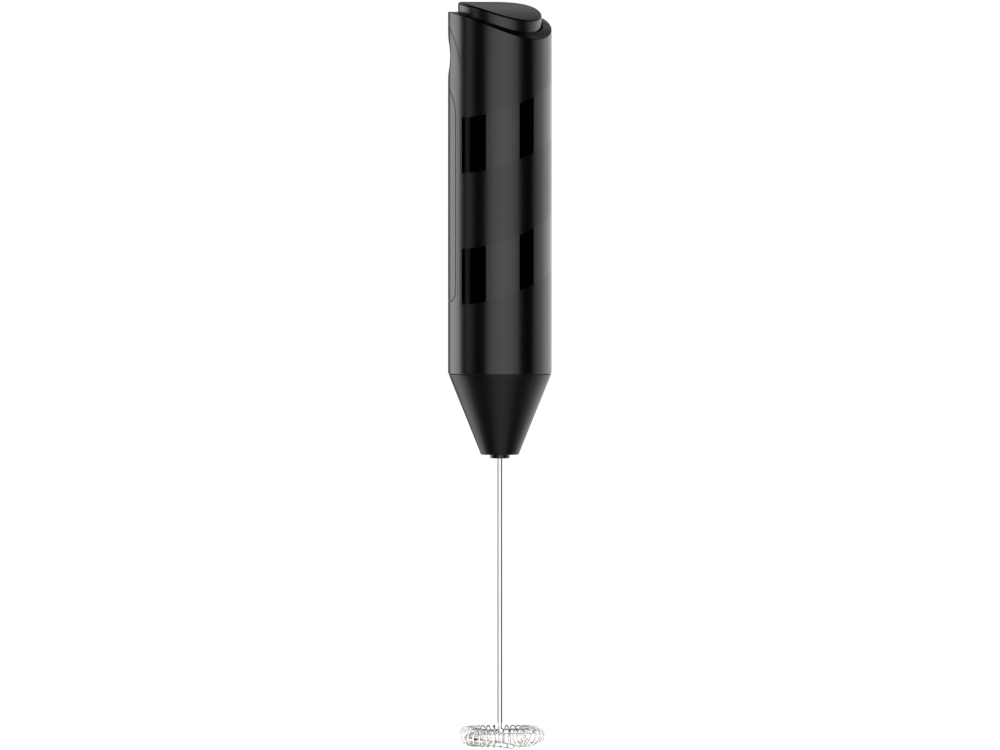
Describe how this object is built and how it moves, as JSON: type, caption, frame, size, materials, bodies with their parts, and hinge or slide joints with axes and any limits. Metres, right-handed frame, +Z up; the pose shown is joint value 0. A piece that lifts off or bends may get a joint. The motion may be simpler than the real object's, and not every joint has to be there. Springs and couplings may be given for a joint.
{
  "type": "milk frother",
  "caption": "Slim battery milk frother: two-shell handle with oblique gloss bands, slanted press button, battery door, tapered nose, wire shaft and coil-ring whisk.",
  "frame": {"origin": "on the handle's axis, at the seam between the barrel and the tapered nose", "axes": "+Z up along the handle towards the button, whisk pointing down; +Y to the battery door, -Y to the middle of the front shell"},
  "size_m": [0.031, 0.031, 0.2226],
  "materials": {
    "front_shell": "satin black with two oblique gloss bands",
    "back_shell": "satin black",
    "nose_cone": "fine matt black",
    "nose_bushing": "black acetal",
    "motor_can": "zinc-plated drawn steel",
    "motor_end_cap": "white moulding",
    "motor_magnets": "ferrite",
    "motor_front_bearing": "sintered bronze",
    "motor_rear_bearing": "sintered bronze",
    "motor_brushes": "phosphor bronze",
    "motor_terminals": "tinned brass",
    "motor_cradle": "moulded black",
    "battery_tray": "moulded black",
    "cell_a": "plain printed sleeve",
    "cell_b": "plain printed sleeve",
    "bridge_contact": "nickel-plated strip",
    "bridge_spring": "nickel-plated wire",
    "positive_contact": "nickel-plated strip",
    "negative_contact": "nickel-plated strip",
    "negative_spring": "nickel-plated wire",
    "switch_board": "green laminate",
    "switch_housing": "black moulding",
    "board_screws": "zinc-plated",
    "tray_screws": "zinc-plated",
    "red_lead": "PVC insulation",
    "black_lead": "PVC insulation",
    "power_button": "soft satin black",
    "switch_plunger": "natural nylon",
    "button_spring": "spring wire",
    "motor_shaft": "ground steel",
    "armature_core": "laminated steel",
    "armature_windings": "enamelled copper",
    "commutator": "copper segments",
    "shaft_coupler": "white nylon",
    "whisk_wire": "polished stainless wire",
    "whisk_coil": "polished stainless fine wire",
    "battery_door": "satin black"
  },
  "bodies": {
    "handle": {"front_shell": "front_shell", "back_shell": "back_shell", "nose_cone": "nose_cone", "nose_bushing": "nose_bushing", "motor_can": "motor_can", "motor_end_cap": "motor_end_cap", "motor_magnets": "motor_magnets", "motor_front_bearing": "motor_front_bearing", "motor_rear_bearing": "motor_rear_bearing", "motor_brushes": "motor_brushes", "motor_terminals": "motor_terminals", "motor_cradle": "motor_cradle", "battery_tray": "battery_tray", "cell_a": "cell_a", "cell_b": "cell_b", "bridge_contact": "bridge_contact", "bridge_spring": "bridge_spring", "positive_contact": "positive_contact", "negative_contact": "negative_contact", "negative_spring": "negative_spring", "switch_board": "switch_board", "switch_housing": "switch_housing", "board_screws": "board_screws", "tray_screws": "tray_screws", "red_lead": "red_lead", "black_lead": "black_lead"},
    "button": {"power_button": "power_button", "switch_plunger": "switch_plunger", "button_spring": "button_spring"},
    "drive": {"motor_shaft": "motor_shaft", "armature_core": "armature_core", "armature_windings": "armature_windings", "commutator": "commutator", "shaft_coupler": "shaft_coupler", "whisk_wire": "whisk_wire", "whisk_coil": "whisk_coil"},
    "battery_door": {"battery_door": "battery_door"}
  },
  "joints": [
    {"name": "button_press", "type": "slide", "parent": "handle", "child": "button", "axis": [0, 0, -1], "range_m": [0, 0.0015], "stiffness_N_per_m": 800, "springref_m": -0.0015, "deforming": ["button_spring"]},
    {"name": "whisk_spin", "type": "hinge", "parent": "handle", "child": "drive", "pos_m": [0, 0, 0], "axis": [0, 0, 1], "continuous": true},
    {"name": "battery_door_tilt", "type": "hinge", "parent": "handle", "child": "battery_door", "pos_m": [0, 0.0155, 0.0219], "axis": [-1, 0, 0], "range_deg": [0, 35]}
  ]
}
